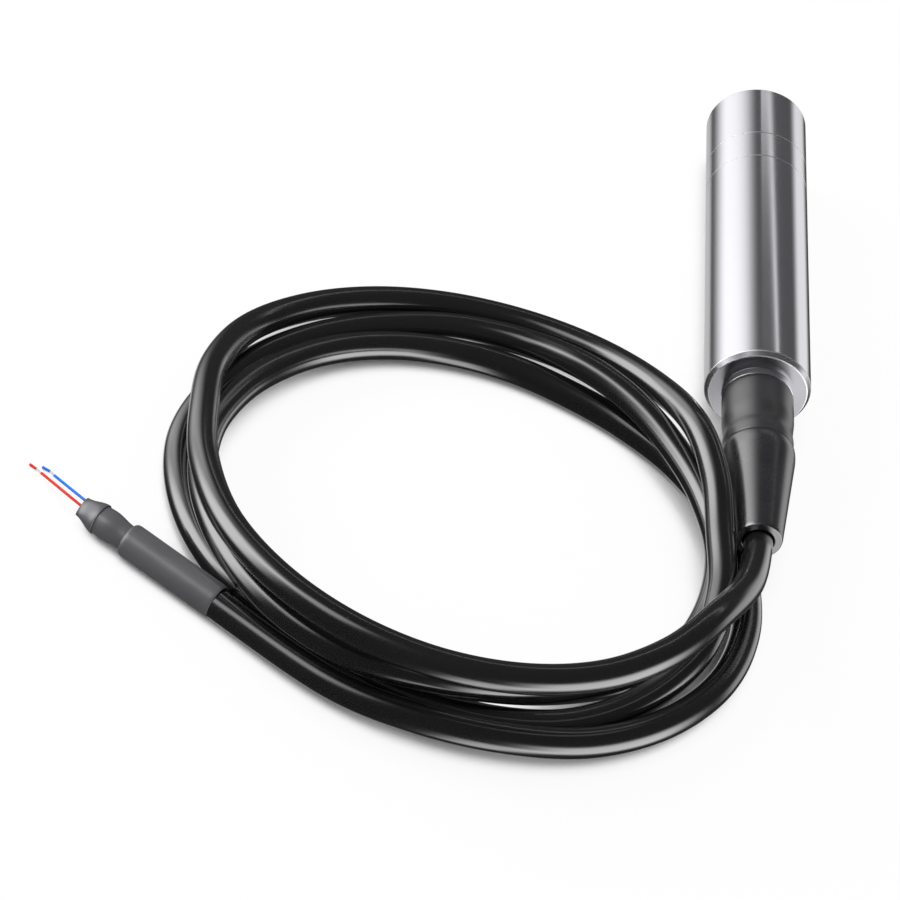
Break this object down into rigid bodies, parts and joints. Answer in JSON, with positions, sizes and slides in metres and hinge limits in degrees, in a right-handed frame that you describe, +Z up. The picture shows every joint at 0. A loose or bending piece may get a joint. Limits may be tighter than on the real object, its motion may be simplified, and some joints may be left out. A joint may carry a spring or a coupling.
{
  "type": "submersible level transmitter",
  "caption": "Slim steel pressure probe with a vented nose cap, a conical bend sleeve and a thin cable laid in loose turns to its bare wires.",
  "frame": {"origin": "bottom centre of the probe and its bend sleeve, on the surface that they lie on", "axes": "+Y along the probe towards its sensing end, +Z up"},
  "size_m": [0.1957, 0.2459, 0.0287],
  "materials": {
    "steel": "turned and polished stainless steel",
    "shrink": "satin heat-shrink tube",
    "rubber": "moulded, matte",
    "jacket": "glossy black jacket",
    "sleeve": "matte heat-shrink tube",
    "red_wire": "satin insulation",
    "blue_wire": "satin insulation",
    "tinned": "bright tinned metal",
    "seal": "moulded",
    "cell": "machined",
    "board": "solder-masked laminate",
    "chip": "moulded",
    "can": "satin",
    "holder": "moulded",
    "terminal": "moulded",
    "brass": "machined",
    "vent": "extruded"
  },
  "bodies": {
    "root": {"housing": "steel", "sensor_body": "steel", "nose_cap": "steel", "shrink_boot": "shrink", "bend_sleeve": "rubber", "cable": "jacket", "end_sleeve": "sleeve", "end_shrink": "sleeve", "end_cap": "sleeve", "wire_red": "red_wire", "wire_red_core": "tinned", "wire_red_tip": "red_wire", "wire_blue": "blue_wire", "wire_blue_core": "tinned", "wire_blue_tip": "blue_wire", "gland_nut": "steel", "gland_washer": "brass", "gland_seal": "seal", "cable_clamp": "tinned", "sensor_cell": "cell", "diaphragm": "tinned", "cell_retainer": "steel", "cell_o_ring": "seal", "body_o_ring": "seal", "circuit_board": "board", "rear_board_holder": "holder", "front_board_holder": "holder", "amplifier_chip": "chip", "regulator_chip": "chip", "capacitor_1": "can", "capacitor_2": "can", "surge_arrester": "can", "terminal_block": "terminal", "terminal_screw_1": "brass", "terminal_screw_2": "brass", "sensor_header": "holder", "core_red_inner": "red_wire", "core_blue_inner": "blue_wire", "vent_tube": "vent", "cell_lead_1": "vent", "cell_lead_2": "vent", "cell_lead_3": "vent", "cell_lead_4": "vent"}
  },
  "joints": []
}
